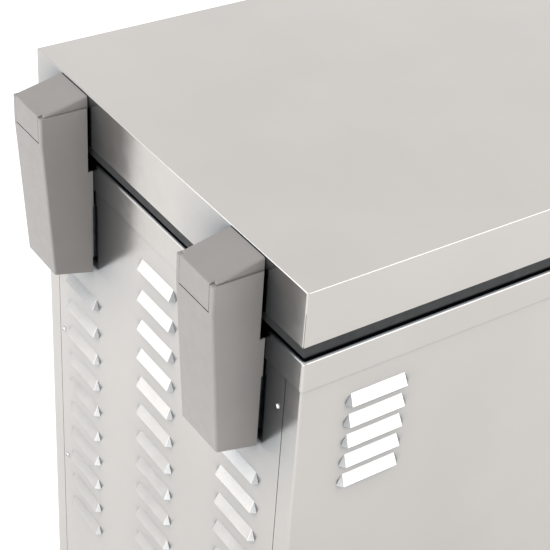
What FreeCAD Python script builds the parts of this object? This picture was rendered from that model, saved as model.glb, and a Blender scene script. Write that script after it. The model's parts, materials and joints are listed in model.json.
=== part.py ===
"""Insulated, ventilated battery box with a sprung top lid.  Millimetres, +Z up, front towards -Y.

The origin is at the bottom centre of the box that holds the whole object.  Each sub-part is
written to its own STEP file, named as its node.
"""
import os

import FreeCAD
import Part
from FreeCAD import Base
from math import cos, radians, sin, sqrt

Vector = Base.Vector

# ---------------------------------------------------------------- driving dimensions
OVERALL_HEIGHT = 880.0
LID_WIDTH = 528.0
LID_DEPTH = 640.0
LID_HEIGHT = 62.0
SIDE_OVERHANG = 4.0          # lid past the body, left and right
END_OVERHANG = 5.5           # lid past the body, front and back
SEAL_GAP = 21.0              # lid underside to rim top
RIM_HEIGHT = 35.0
BASE_HEIGHT = 24.0           # floor to the underside of the base pan
SHEET = 1.2                  # steel sheet of every panel
FIT = 0.05                   # clearance between sheets and pins that sit in each other
GAP = 0.3                    # clearance between pieces that only stand side by side
WALL_FOAM = 50.0
MACHINE_DEPTH = 155.0        # ventilated space behind the bulkhead

LID_EDGE_RADIUS = 2.0
RIM_EDGE_RADIUS = 3.6
PANEL_EDGE_RADIUS = 2.5
LID_SLIT_WIDTH = 0.5
LID_SLIT_HEIGHT = 38.0
LID_FLANGE = 28.0
LID_PLUG_DROP = 16.0
LID_PLUG_INSET = 38.0
LID_PLUG_CORNER = 14.0
LID_PLUG_EDGE = 8.0
LINER_SHEET = 1.5

SEAL_INSET = 4.0
SEAL_WIDTH = 15.0
SEAL_RETAINER_HEIGHT = 2.5
SEAL_RETAINER_INSET = 2.5    # behind the seal's face, as is the lip below
SEAL_LIP_HEIGHT = 6.0
SEAL_LIP_INSET = 4.5

PANEL_FLANGE = 25.0          # return of a side panel, seen from behind
PANEL_SEAM = 0.9
PANEL_TAB = 21.0             # joggled tab that carries the rear and front panels
PANEL_SCREW_INSET = 9.6
PANEL_SCREW_FIRST = 160.0    # below the lid top
PANEL_SCREW_PITCH = 207.0
PANEL_SCREW_ROWS = 4
PANEL_SCREW_HEAD_RADIUS = 3.4
PANEL_SCREW_HEAD_HEIGHT = 2.0
PANEL_SCREW_RADIUS = 2.0
PANEL_SCREW_RECESS = 1.1     # radius of the socket in the head
PANEL_SCREW_LENGTH = 9.0

REAR_CENTRE_X = 4.0          # hinges and rear louvres stand either side of this line
LOUVRE_TOP_LENGTH = 65.0
LOUVRE_LIP_LENGTH = 67.0
LOUVRE_FOOT_LENGTH = 77.0    # where the slanted ends meet the sheet
LOUVRE_PROJECTION = 6.0
LOUVRE_HEIGHT = 12.5
LOUVRE_EDGE_RADIUS = 1.2
LOUVRE_SKIN = 1.0
REAR_LOUVRE_COLUMN = 168.5
REAR_LOUVRE_TOP = 160.0      # first lip below the lid top
REAR_LOUVRE_PITCH = 40.2
REAR_LOUVRE_ROWS = 13
REAR_LOUVRE_HIDDEN_ROWS = 3  # rows left out under the hinge covers
SIDE_LOUVRE_FROM_BACK = 97.5
SIDE_LOUVRE_TOP = 156.5
SIDE_LOUVRE_PITCH = 26.0
SIDE_LOUVRE_ROWS = 5

HINGE_SPACING = 341.0
COVER_WIDTH = 65.6
COVER_PROJECTION = 57.0
COVER_FOOT_PROJECTION = 45.5
COVER_WALL_TOP = 15.8        # the next eight are depths below the lid top
COVER_CAP_FRONT = 14.6
COVER_CAP_BACK = 2.6
COVER_SEAM = 46.0
COVER_FOOT_FRONT = 217.0
COVER_FOOT_BACK = 229.0
COVER_STEP = 95.0            # here the side walls step out over the rim
COVER_KINK = 141.0           # here they step back from the panel
COVER_FRONT_RETURN = 6.6     # side wall turned in beside the cap's skirt
COVER_WALL = 2.1
CAP_WALL = 2.0
CAP_EDGE_RADIUS = 2.0
CAP_SIDE_GAP = 0.4
CAP_LID_GAP = 0.6
CAP_BOSS_TOP = 19.3          # above the pivot
CAP_BOSS_RADIUS = 5.0
COVER_LID_GAP = 2.1
COVER_PANEL_GAP = 3.1
COVER_EDGE_RADIUS = 2.4
SEAM_GAP = 0.6

PIVOT_BEHIND_LID = 30.0
PIVOT_BELOW_TOP = 26.0
PIN_RADIUS = 3.0
HINGE_PLATE = 2.5
CHEEK = 1.8
ARM_OUTER_X = 21.5
THRUST_PIN_RADIUS = 4.0
THRUST_PIN_BACK = 18.0       # from the pivot towards the lid
THRUST_PIN_DOWN = 14.0       # below the pivot
PLUNGER_BACK = 20.4
PLUNGER_TOP_DOWN = 18.6
PLUNGER_PAD_RADIUS = 7.0
PLUNGER_PAD = 3.0
PLUNGER_STEM_RADIUS = 4.0
PLUNGER_COLLAR_DOWN = 72.0
PLUNGER_COLLAR = 4.0
PLUNGER_COLLAR_RADIUS = 11.5
GUIDE_DOWN = 36.0
GUIDE_THICKNESS = 3.0
SPRING_SEAT_DOWN = 178.0
SPRING_MEAN_RADIUS = 9.0
SPRING_WIRE_RADIUS = 1.2
SPRING_TURNS = 9.0
BRACKET_BOTTOM_DOWN = 186.0
HINGE_SCREW_RADIUS = 2.5
CAP_SCREW_RADIUS = 1.6
CAP_SCREW_BACK = 17.0        # from the pivot towards the lid
CAP_TAB_TOP = 11.9           # above the pivot
HINGE_SCREW_HEAD_RADIUS = 4.2
HINGE_SCREW_HEAD = 3.0
BACKING_PLATE = 3.0
BACKING_HALF_WIDTH = 30.0
BACKING_POCKET = 16.0        # foam cut away behind the lid's back
BACKING_CLEARANCE = 2.0
LID_BACKING_DOWN = 20.0
LID_BACKING_UP = 18.0
BODY_BACKING_MARGIN = 12.0
SCREW_END = 3.0              # thread left past the backing plate

HANDLE_WIDTH = 150.0
HANDLE_PROJECTION = 26.0
HANDLE_HEIGHT = 30.0
HANDLE_WALL = 4.0
HANDLE_TOP_DOWN = 14.0
HANDLE_EDGE_RADIUS = 6.0

TUB_WALL = 1.0
TUB_CORNER_RADIUS = 8.0
TUB_FLANGE = 18.0
PAN_EDGE = 22.0
TRAY_CLEARANCE = 3.0
TRAY_EDGE = 8.0
TRAY_RUNNER_INSET = 30.0
TRAY_RUNNER_EDGE_RADIUS = 3.0
TRAY_RUNNERS = 4
TRAY_RUNNER_WIDTH = 24.0
TRAY_RUNNER_HEIGHT = 6.0

FOOT_RADIUS = 19.0
FOOT_INSET = 45.0
FOOT_BOLT_RADIUS = 4.0
FOOT_NUT_HEIGHT = 6.0
FOOT_TAPER = 3.0
FOOT_EDGE_RADIUS = 1.5
FOOT_HEAD_BOTTOM = 4.0
FOOT_HEAD_HEIGHT = 6.0

GLAND_X = 60.0
GLAND_SPACING = 60.0
GLAND_HEIGHT = 96.0
GLAND_BORE_RADIUS = 7.0
GLAND_THREAD_RADIUS = 12.4
GLAND_HEX = 30.0             # across flats
GLAND_BASE = 6.0             # the next four follow each other outwards
GLAND_NECK = 3.0
GLAND_NUT = 8.0
GLAND_DOME = 9.0
GLAND_THREAD_LENGTH = 14.0
GLAND_LOCK_NUT = 5.5

COMPRESSOR_X = 117.0
COMPRESSOR_RADIUS = 52.0
COMPRESSOR_HEIGHT = 128.0
COMPRESSOR_DOME = 30.0
GROMMET_RADIUS = 9.0
GROMMET_HEIGHT = 12.0
GROMMET_SPACING_X = 140.0
GROMMET_SPACING_Y = 84.0
GROMMET_CAP = 4.0
COMPRESSOR_PLATE = 3.0
COMPRESSOR_PLATE_MARGIN = 12.0
COMPRESSOR_BAND = 7.0

COIL_X = -110.0
COIL_Z = 440.0
COIL_WIDTH = 190.0
COIL_HEIGHT = 190.0
COIL_DEPTH = 44.0
COIL_FINS = 24
FIN_SHEET = 0.8
COIL_TUBE_RADIUS = 4.0
COIL_ROWS = 6
FAN_OPENING_RADIUS = 78.0
FAN_BLADES = 7
FAN_TIP_GAP = 3.0
FAN_HUB_RADIUS = 22.0
FAN_SHAFT_RADIUS = 3.0
FAN_DEPTH = 30.0
FAN_BLADE_PITCH = 58.0       # degrees from the plane of the shroud
MOTOR_RADIUS = 19.0
MOTOR_LENGTH = 20.0
MOTOR_BORE = 14.0
STRUT = 7.0

CONTROL_X = 150.0
CONTROL_Z = 420.0
CONTROL_WIDTH = 120.0
CONTROL_HEIGHT = 170.0
CONTROL_DEPTH = 52.0
CONTROL_WALL = 2.5
CONTROL_COVER = 4.0
CONTROL_COVER_LIP = 1.0
BOARD_INSET = 10.0
BOARD_STANDOFF = 8.0
BOARD_THICKNESS = 1.6

BUSBAR_LENGTH = 120.0
BUSBAR_X = 95.0
BUSBAR_DOWN = 90.0           # below the rim top
BUSBAR_THICKNESS = 4.0
BUSBAR_HALF_HEIGHT = 9.0
BUSBAR_BASE = 14.0           # insulator's depth and half its height
BUSBAR_END = 8.0
STUD_RADIUS = 4.0
STUD_SPACING = 60.0
STUD_LENGTH = 17.0

# ---------------------------------------------------------------- derived places
TOP = OVERALL_HEIGHT
LID_BOTTOM = TOP - LID_HEIGHT
RIM_TOP = LID_BOTTOM - SEAL_GAP
RIM_BOTTOM = RIM_TOP - RIM_HEIGHT
LID_X = LID_WIDTH / 2
BODY_X = LID_X - SIDE_OVERHANG
TOTAL_DEPTH = LID_DEPTH + COVER_PROJECTION + HANDLE_PROJECTION
LID_BACK = TOTAL_DEPTH / 2 - COVER_PROJECTION
LID_FRONT = LID_BACK - LID_DEPTH
BODY_BACK = LID_BACK - END_OVERHANG
BODY_FRONT = LID_FRONT + END_OVERHANG
PANEL_X = BODY_X - PANEL_FLANGE - PANEL_SEAM   # edge of the rear and front panels
PANEL_TOP = RIM_BOTTOM - GAP
PANEL_BOTTOM = BASE_HEIGHT - 4.0
PAN_TOP = BASE_HEIGHT + 2 * SHEET
TAB_FACE = SHEET + FIT                         # joggle depth behind a panel's outer face
BULKHEAD_BACK = BODY_BACK - MACHINE_DEPTH
BULKHEAD_FRONT = BULKHEAD_BACK - SHEET
TUB_X = BODY_X - SHEET - WALL_FOAM
TUB_BACK = BULKHEAD_FRONT - WALL_FOAM
TUB_FRONT = BODY_FRONT + SHEET + TAB_FACE + WALL_FOAM
TUB_BOTTOM = PAN_TOP + WALL_FOAM
RIM_FACE_X = BODY_X + FIT + SHEET
RIM_FACE_BACK = BODY_BACK + FIT + SHEET
PIVOT_Y = LID_BACK + PIVOT_BEHIND_LID
PIVOT_Z = TOP - PIVOT_BELOW_TOP
COVER_X = COVER_WIDTH / 2
CAP_X = COVER_X - COVER_WALL - CAP_SIDE_GAP            # outside of the cap's side plates
CAP_SKIRT_X = COVER_X - COVER_FRONT_RETURN - CAP_SIDE_GAP
CHEEK_OUTER_X = CAP_X - CAP_WALL - GAP                 # the cap's side plates pass outside the cheeks
CHEEK_INNER_X = CHEEK_OUTER_X - CHEEK                  # and its skirt between them
COVER_FRONT = COVER_PROJECTION - PIVOT_BEHIND_LID      # this and the next from the pivot
SEAM_UP = PIVOT_BELOW_TOP - COVER_SEAM
CAP_SKIRT_RADIUS = sqrt(COVER_FRONT ** 2 + SEAM_UP ** 2)
HINGE_CENTRES = {"left": REAR_CENTRE_X - HINGE_SPACING / 2, "right": REAR_CENTRE_X + HINGE_SPACING / 2}
HINGE_SCREW_X = 17.0
BODY_SCREW_DOWN = (108.0, 166.0)               # below the pivot
LID_SCREW_Z = 3.0                              # above the pivot
LID_SCREW_X = 11.0


# ---------------------------------------------------------------- helpers
def box(x0, x1, y0, y1, z0, z1):
    return Part.makeBox(x1 - x0, y1 - y0, z1 - z0, Vector(x0, y0, z0))


def cylinder(radius, start, direction, length):
    return Part.makeCylinder(radius, length, Vector(*start), Vector(*direction))


def prism_x(points, x0, x1):
    """Extrudes an outline of (y, z) points along X from x0 to x1."""
    corners = [Vector(x0, y, z) for y, z in points]
    face = Part.Face(Part.makePolygon(corners + corners[:1]))
    return face.extrude(Vector(x1 - x0, 0, 0))


def hexagon(across_flats, centre, height):
    """A hexagonal prism along +Y from its centre point."""
    radius = across_flats / 2 / cos(radians(30))
    corners = []
    for k in range(6):
        angle = radians(60 * k)
        corners.append(Vector(centre[0] + radius * cos(angle), centre[1], centre[2] + radius * sin(angle)))
    return Part.Face(Part.makePolygon(corners + corners[:1])).extrude(Vector(0, height, 0))


def edges_where(shape, test):
    return [edge for edge in shape.Edges if test(edge)]


def spans(edge):
    size = edge.BoundBox
    return size.XLength, size.YLength, size.ZLength


def is_vertical(edge):
    x, y, z = spans(edge)
    return z > 0.5 and x < 0.01 and y < 0.01


def at_height(z):
    def test(edge):
        size = edge.BoundBox
        return abs(size.ZMin - z) < 0.01 and abs(size.ZMax - z) < 0.01
    return test


def rounded_box(x0, x1, y0, y1, z0, z1, vertical, top=0.0, bottom=0.0):
    """A box whose upright edges, and optionally its top and bottom edges, are rounded."""
    shape = box(x0, x1, y0, y1, z0, z1)
    shape = shape.makeFillet(vertical, edges_where(shape, is_vertical))
    if top:
        shape = shape.makeFillet(top, edges_where(shape, at_height(z1)))
    if bottom:
        shape = shape.makeFillet(bottom, edges_where(shape, at_height(z0)))
    return shape


def mirrored_x(shape):
    return shape.mirror(Vector(0, 0, 0), Vector(1, 0, 0))


def moved(shape, x=0.0, y=0.0, z=0.0):
    copy = shape.copy()
    copy.translate(Vector(x, y, z))
    return copy


def save(name, shape):
    if isinstance(shape, list):
        shape = Part.makeCompound(shape)
    for solid in shape.Solids:
        if not solid.isValid():
            print("not valid:", name)
    print(name, len(shape.Solids), "solids", round(shape.Volume / 1000.0, 2), "cm3")
    shape.exportStep("parts/" + name + ".step")


# ---------------------------------------------------------------- lid
def lid_outer_shell():
    outer = rounded_box(-LID_X, LID_X, LID_FRONT, LID_BACK, LID_BOTTOM, TOP, LID_EDGE_RADIUS, LID_EDGE_RADIUS)
    inner = box(-LID_X + SHEET, LID_X - SHEET, LID_FRONT + SHEET, LID_BACK - SHEET,
                LID_BOTTOM + SHEET, TOP - SHEET)
    mouth = box(-LID_X + LID_FLANGE, LID_X - LID_FLANGE, LID_FRONT + LID_FLANGE, LID_BACK - LID_FLANGE,
                LID_BOTTOM - 1, LID_BOTTOM + 2 * SHEET)
    shell = outer.cut(inner).cut(mouth)
    reach = 4 * SHEET
    slit = box(-LID_SLIT_WIDTH / 2, LID_SLIT_WIDTH / 2, -reach, reach,
               LID_BOTTOM - 1, LID_BOTTOM + LID_SLIT_HEIGHT)
    for x, y, turn in ((-LID_X, LID_FRONT, -45), (LID_X, LID_FRONT, 45),
                       (-LID_X, LID_BACK, 45), (LID_X, LID_BACK, -45)):
        cut = slit.copy()
        cut.rotate(Vector(0, 0, 0), Vector(0, 0, 1), turn)
        shell = shell.cut(moved(cut, x, y))
    for x in lid_screw_places():
        start = (x, LID_BACK - 2 * SHEET, PIVOT_Z + LID_SCREW_Z)
        shell = shell.cut(cylinder(HINGE_SCREW_RADIUS + FIT, start, (0, 1, 0), 4 * SHEET))
    return shell


def lid_screw_places():
    return [centre + side * LID_SCREW_X for centre in HINGE_CENTRES.values() for side in (-1, 1)]


def lid_inner_liner():
    edge = LID_EDGE_RADIUS + SEAL_INSET + SEAL_WIDTH
    plate = box(-LID_X + edge, LID_X - edge, LID_FRONT + edge, LID_BACK - edge,
                LID_BOTTOM - LINER_SHEET, LID_BOTTOM)
    inset = LID_PLUG_INSET
    plug = rounded_box(-LID_X + inset, LID_X - inset, LID_FRONT + inset, LID_BACK - inset,
                       LID_BOTTOM - LID_PLUG_DROP, LID_BOTTOM - LINER_SHEET / 2,
                       LID_PLUG_CORNER, 0, LID_PLUG_EDGE)
    inset = LID_PLUG_INSET + LINER_SHEET
    hollow = rounded_box(-LID_X + inset, LID_X - inset, LID_FRONT + inset, LID_BACK - inset,
                         LID_BOTTOM - LID_PLUG_DROP + LINER_SHEET, LID_BOTTOM + 1,
                         LID_PLUG_CORNER - LINER_SHEET, 0, LID_PLUG_EDGE - LINER_SHEET)
    return plate.fuse(plug).cut(hollow)


def lid_insulation():
    side = SHEET + GAP
    core = box(-LID_X + side, LID_X - side, LID_FRONT + side, LID_BACK - side,
               LID_BOTTOM + side, TOP - side)
    liner = LINER_SHEET + GAP
    inset = LID_PLUG_INSET + liner
    plug = rounded_box(-LID_X + inset, LID_X - inset, LID_FRONT + inset, LID_BACK - inset,
                       LID_BOTTOM - LID_PLUG_DROP + liner, LID_BOTTOM + 2 * side,
                       LID_PLUG_CORNER - liner, 0, LID_PLUG_EDGE - liner)
    foam = core.fuse(plug)
    for centre in HINGE_CENTRES.values():
        foam = foam.cut(lid_backing_space(centre))
    return foam


def lid_backing_space(centre):
    half = BACKING_HALF_WIDTH + BACKING_CLEARANCE
    return box(centre - half, centre + half, LID_BACK - BACKING_POCKET, LID_BACK,
               PIVOT_Z - LID_BACKING_DOWN - BACKING_CLEARANCE, PIVOT_Z + LID_BACKING_UP + BACKING_CLEARANCE)


def lid_backing_plates():
    plates = []
    for centre in HINGE_CENTRES.values():
        back = LID_BACK - SHEET - FIT
        plate = box(centre - BACKING_HALF_WIDTH, centre + BACKING_HALF_WIDTH, back - BACKING_PLATE, back,
                    PIVOT_Z - LID_BACKING_DOWN, PIVOT_Z + LID_BACKING_UP)
        for side in (-1, 1):
            start = (centre + side * LID_SCREW_X, LID_BACK - BACKING_POCKET, PIVOT_Z + LID_SCREW_Z)
            plate = plate.cut(cylinder(HINGE_SCREW_RADIUS + FIT, start, (0, 1, 0), BACKING_POCKET))
        plates.append(plate)
    return plates


def loop(inset, width, z0, z1):
    """A rectangular frame under the lid, its outside set in from the lid's edge."""
    outer = box(-LID_X + inset, LID_X - inset, LID_FRONT + inset, LID_BACK - inset, z0, z1)
    inset = inset + width
    return outer.cut(box(-LID_X + inset, LID_X - inset, LID_FRONT + inset, LID_BACK - inset, z0 - 1, z1 + 1))


def lid_seal_retainer():
    inset = SEAL_INSET + SEAL_RETAINER_INSET
    return loop(inset, SEAL_WIDTH - SEAL_RETAINER_INSET, LID_BOTTOM - SEAL_RETAINER_HEIGHT, LID_BOTTOM)


def lid_gasket():
    """Square rubber body with a set-back lip that lands on the rim."""
    bottom = RIM_TOP + GAP
    top = LID_BOTTOM - SEAL_RETAINER_HEIGHT
    body = loop(SEAL_INSET, SEAL_WIDTH, bottom + SEAL_LIP_HEIGHT, top)
    lip = loop(SEAL_INSET + SEAL_LIP_INSET, SEAL_WIDTH - SEAL_LIP_INSET, bottom, top)
    return body.fuse(lip).removeSplitter()


def lid_handle():
    """A grip on the lid's front with a hollow behind its lower edge for the fingers."""
    half = HANDLE_WIDTH / 2
    z1 = TOP - HANDLE_TOP_DOWN
    z0 = z1 - HANDLE_HEIGHT
    y0 = LID_FRONT - HANDLE_PROJECTION
    grip = box(-half, half, y0, LID_FRONT, z0, z1)
    front = edges_where(grip, lambda e: e.BoundBox.YMax < y0 + 0.01)
    grip = grip.makeFillet(HANDLE_EDGE_RADIUS, front)
    hollow = box(-half + HANDLE_WALL, half - HANDLE_WALL, y0 + HANDLE_WALL + 1, LID_FRONT - HANDLE_WALL,
                 z0 - 1, z1 - HANDLE_WALL)
    return grip.cut(hollow)


# ---------------------------------------------------------------- louvres
def louvre_solid(inset):
    """Closed wedge on the XZ plane: sloped face towards +Y, slanted ends, flat underside."""
    projection = LOUVRE_PROJECTION - inset
    height = LOUVRE_HEIGHT - 1.5 * inset
    top = [Vector(side * (LOUVRE_TOP_LENGTH / 2 - inset), 0, height) for side in (-1, 1)]
    lip = [Vector(side * (LOUVRE_LIP_LENGTH / 2 - inset), projection, 0) for side in (-1, 1)]
    foot = [Vector(side * (LOUVRE_FOOT_LENGTH / 2 - 2 * inset), 0, 0) for side in (-1, 1)]
    outlines = [[top[0], top[1], lip[1], lip[0]], [foot[0], foot[1], top[1], top[0]],
                [foot[0], foot[1], lip[1], lip[0]], [top[0], lip[0], foot[0]], [top[1], lip[1], foot[1]]]
    faces = [Part.Face(Part.makePolygon(corners + corners[:1])) for corners in outlines]
    return Part.makeSolid(Part.makeShell(faces))


def louvre_hood():
    """The pressed hood, rounded where its face turns into its ends."""
    hood = louvre_solid(0)
    turns = edges_where(hood, lambda e: e.BoundBox.ZLength > LOUVRE_HEIGHT - 1 and e.BoundBox.YLength > 1
                        and e.BoundBox.XLength < LOUVRE_LIP_LENGTH - LOUVRE_TOP_LENGTH + 0.5)
    return hood.makeFillet(LOUVRE_EDGE_RADIUS, turns)


def louvre_hollow():
    half = LOUVRE_LIP_LENGTH / 2 - 2 * LOUVRE_SKIN
    slot = box(-half, half, -2 * SHEET, 0.01, 0, LOUVRE_HEIGHT - 2.5 * LOUVRE_SKIN)
    return louvre_solid(LOUVRE_SKIN).fuse(slot)


def punch_louvres(panel, places):
    """Adds a hood over a slot at each place, given as a function that puts a shape there."""
    hood = louvre_hood()
    hollow = louvre_hollow()
    panel = panel.fuse([place(hood) for place in places])
    return panel.cut([place(hollow) for place in places])


def rear_louvre_places():
    places = []
    for column in (-1, 0, 1):
        first = REAR_LOUVRE_HIDDEN_ROWS if column else 0
        for row in range(first, REAR_LOUVRE_ROWS):
            x = REAR_CENTRE_X + column * REAR_LOUVRE_COLUMN
            z = TOP - REAR_LOUVRE_TOP - row * REAR_LOUVRE_PITCH
            places.append(lambda shape, x=x, z=z: moved(shape, x, BODY_BACK, z))
    return places


def side_louvre_places():
    places = []
    for row in range(SIDE_LOUVRE_ROWS):
        z = TOP - SIDE_LOUVRE_TOP - row * SIDE_LOUVRE_PITCH

        def place(shape, z=z):
            copy = shape.copy()
            copy.rotate(Vector(0, 0, 0), Vector(0, 0, 1), -90)
            return moved(copy, BODY_X, LID_BACK - SIDE_LOUVRE_FROM_BACK, z)
        places.append(place)
    return places


# ---------------------------------------------------------------- body panels
def panel_screw_heights():
    return [TOP - PANEL_SCREW_FIRST - k * PANEL_SCREW_PITCH for k in range(PANEL_SCREW_ROWS)]


def panel_screw_x():
    return PANEL_X - PANEL_SCREW_INSET


def side_panel():
    """Right-hand side sheet with a flush return and a joggled tab at each end."""
    z0 = PANEL_BOTTOM
    z1 = RIM_TOP - RIM_EDGE_RADIUS
    seam = BODY_X - PANEL_FLANGE
    tab = seam - PANEL_TAB
    sheet = box(BODY_X - SHEET, BODY_X, BODY_FRONT, BODY_BACK, z0, z1)
    for face, inward in ((BODY_BACK, -1), (BODY_FRONT, 1)):
        near = sorted((face, face + inward * SHEET))
        joggle = sorted((face, face + inward * (TAB_FACE + SHEET)))
        deep = sorted((face + inward * TAB_FACE, face + inward * (TAB_FACE + SHEET)))
        sheet = sheet.fuse([box(seam, BODY_X, near[0], near[1], z0, z1),
                            box(seam, seam + SHEET, joggle[0], joggle[1], z0, z1),
                            box(tab, seam + SHEET, deep[0], deep[1], z0, z1)])
    sheet = sheet.removeSplitter()
    outer = edges_where(sheet, lambda e: is_vertical(e) and e.BoundBox.XMin > BODY_X - 0.01)
    sheet = sheet.makeFillet(PANEL_EDGE_RADIUS, outer)
    for z in panel_screw_heights():
        for y in (BODY_BACK, BODY_FRONT):
            hole = cylinder(PANEL_SCREW_RADIUS + FIT, (panel_screw_x(), y - 5, z), (0, 1, 0), 10)
            sheet = sheet.cut(hole)
    return punch_louvres(sheet, side_louvre_places())


def flush_panel(face, inward):
    y0, y1 = sorted((face, face + inward * SHEET))
    panel = box(-PANEL_X, PANEL_X, y0, y1, PANEL_BOTTOM, PANEL_TOP)
    for z in panel_screw_heights():
        for side in (-1, 1):
            start = (side * panel_screw_x(), y0 - 1, z)
            panel = panel.cut(cylinder(PANEL_SCREW_RADIUS + FIT, start, (0, 1, 0), SHEET + 2))
    return panel


def rear_panel():
    panel = flush_panel(BODY_BACK, -1)
    for x, z in body_screw_places():
        panel = panel.cut(cylinder(HINGE_SCREW_RADIUS + FIT, (x, BODY_BACK - 3, z), (0, 1, 0), 6))
    for x in gland_places():
        panel = panel.cut(cylinder(GLAND_THREAD_RADIUS + FIT, (x, BODY_BACK - 3, GLAND_HEIGHT), (0, 1, 0), 6))
    return punch_louvres(panel, rear_louvre_places())


def front_panel():
    return flush_panel(BODY_FRONT, 1)


def panel_screws(face, outward):
    """Domed screws through a flush panel into the tabs behind it."""
    screws = []
    height = PANEL_SCREW_HEAD_HEIGHT
    ball = (PANEL_SCREW_HEAD_RADIUS ** 2 + height ** 2) / (2 * height)
    for z in panel_screw_heights():
        for side in (-1, 1):
            x = side * panel_screw_x()
            centre = face + outward * (height - ball)
            head = Part.makeSphere(ball, Vector(x, centre, z))
            start = (x, face, z)
            head = head.common(cylinder(ball, start, (0, outward, 0), ball))
            start = (x, face + outward * height / 2, z)
            recess = cylinder(PANEL_SCREW_RECESS, start, (0, outward, 0), height)
            shank = cylinder(PANEL_SCREW_RADIUS, start, (0, -outward, 0), PANEL_SCREW_LENGTH)
            screws.append(head.cut(recess).fuse(shank))
    return screws


def rim_frame():
    """Top deck of the body: rounded skirt outside, flat landing for the seal, open over the tub."""
    x = RIM_FACE_X
    front = BODY_FRONT - FIT - SHEET
    radius = RIM_EDGE_RADIUS
    outer = rounded_box(-x, x, front, RIM_FACE_BACK, RIM_BOTTOM, RIM_TOP, radius, radius)
    inner = rounded_box(-x + SHEET, x - SHEET, front + SHEET, RIM_FACE_BACK - SHEET,
                        RIM_BOTTOM - 20, RIM_TOP - SHEET, radius - SHEET, radius - SHEET)
    mouth = rounded_box(-TUB_X, TUB_X, TUB_FRONT, TUB_BACK, RIM_TOP - 10, RIM_TOP + 10, TUB_CORNER_RADIUS)
    return outer.cut(inner).cut(mouth)


def base_pan():
    """Floor tray that stands on the feet, with upturned edges inside the panels."""
    side = SHEET + GAP
    back = TAB_FACE + SHEET + GAP
    x = BODY_X - side
    outer = box(-x, x, BODY_FRONT + back, BODY_BACK - back, BASE_HEIGHT, BASE_HEIGHT + PAN_EDGE)
    wall = 2 * SHEET
    inner = box(-x + wall, x - wall, BODY_FRONT + back + wall, BODY_BACK - back - wall,
                PAN_TOP, BASE_HEIGHT + 2 * PAN_EDGE)
    pan = outer.cut(inner)
    for x, y in foot_places():
        pan = pan.cut(cylinder(FOOT_BOLT_RADIUS + FIT, (x, y, BASE_HEIGHT - 1), (0, 0, 1), 10))
    for x, y in grommet_places():
        pan = pan.cut(cylinder(GROMMET_RADIUS / 2 + FIT, (x, y, BASE_HEIGHT - 1), (0, 0, 1), 10))
    return pan


def foot_places():
    x = BODY_X - FOOT_INSET
    return [(sx * x, y) for sx in (-1, 1) for y in (BODY_FRONT + FOOT_INSET, BODY_BACK - FOOT_INSET)]


def rubber_feet():
    feet = []
    for x, y in foot_places():
        foot = Part.makeCone(FOOT_RADIUS - FOOT_TAPER, FOOT_RADIUS, BASE_HEIGHT, Vector(x, y, 0))
        foot = foot.makeFillet(FOOT_EDGE_RADIUS, edges_where(foot, at_height(0)))
        foot = foot.cut(cylinder(FOOT_BOLT_RADIUS + FIT, (x, y, FOOT_HEAD_BOTTOM), (0, 0, 1), BASE_HEIGHT))
        recess = FOOT_HEAD_BOTTOM + FOOT_HEAD_HEIGHT
        foot = foot.cut(cylinder(2 * FOOT_BOLT_RADIUS + FIT, (x, y, 0), (0, 0, 1), recess))
        feet.append(foot)
    return feet


def foot_bolts():
    """Round head up inside the foot, shank through the pan into a round nut."""
    bolts = []
    for x, y in foot_places():
        head = cylinder(2 * FOOT_BOLT_RADIUS, (x, y, FOOT_HEAD_BOTTOM), (0, 0, 1), FOOT_HEAD_HEIGHT)
        shank = cylinder(FOOT_BOLT_RADIUS, (x, y, FOOT_HEAD_BOTTOM), (0, 0, 1),
                         PAN_TOP + FOOT_NUT_HEIGHT - FOOT_HEAD_BOTTOM)
        nut = cylinder(2 * FOOT_BOLT_RADIUS, (x, y, PAN_TOP), (0, 0, 1), FOOT_NUT_HEIGHT)
        bolts.append(head.fuse([shank, nut]))
    return bolts


def compartment_bulkhead():
    x = BODY_X - SHEET - GAP
    return box(-x, x, BULKHEAD_FRONT, BULKHEAD_BACK, BASE_HEIGHT + PAN_EDGE + GAP, RIM_TOP - SHEET - GAP)


# ---------------------------------------------------------------- battery compartment
def tub_box(grow, z0, z1):
    radius = TUB_CORNER_RADIUS + grow
    return rounded_box(-TUB_X - grow, TUB_X + grow, TUB_FRONT - grow, TUB_BACK + grow, z0, z1, radius)


def inner_liner():
    """One-piece tub with a flange that hangs under the rim deck."""
    top = RIM_TOP - SHEET - FIT
    outer = tub_box(TUB_WALL, TUB_BOTTOM, top)
    flange = tub_box(TUB_FLANGE, top - TUB_WALL, top)
    return outer.fuse(flange).cut(tub_box(0, TUB_BOTTOM + TUB_WALL, top + 1)).removeSplitter()


def wall_insulation():
    x = BODY_X - SHEET - GAP - 2 * SHEET
    front = BODY_FRONT + 2 * SHEET + TAB_FACE + 2 * GAP + SHEET
    top = RIM_TOP - SHEET - FIT - TUB_WALL - GAP
    block = box(-x, x, front, BULKHEAD_FRONT - GAP, PAN_TOP + GAP, top)
    block = block.cut(tub_box(TUB_WALL + GAP, TUB_BOTTOM - GAP, top + 1))
    for x, y in foot_places():
        pocket = cylinder(3 * FOOT_BOLT_RADIUS, (x, y, PAN_TOP - 1), (0, 0, 1), 2 * FOOT_NUT_HEIGHT)
        block = block.cut(pocket)
    for z in panel_screw_heights():
        for side in (-1, 1):
            start = (side * panel_screw_x(), BODY_FRONT, z)
            block = block.cut(cylinder(2 * PANEL_SCREW_RADIUS, start, (0, 1, 0), 1.3 * PANEL_SCREW_LENGTH))
    return block


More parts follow.
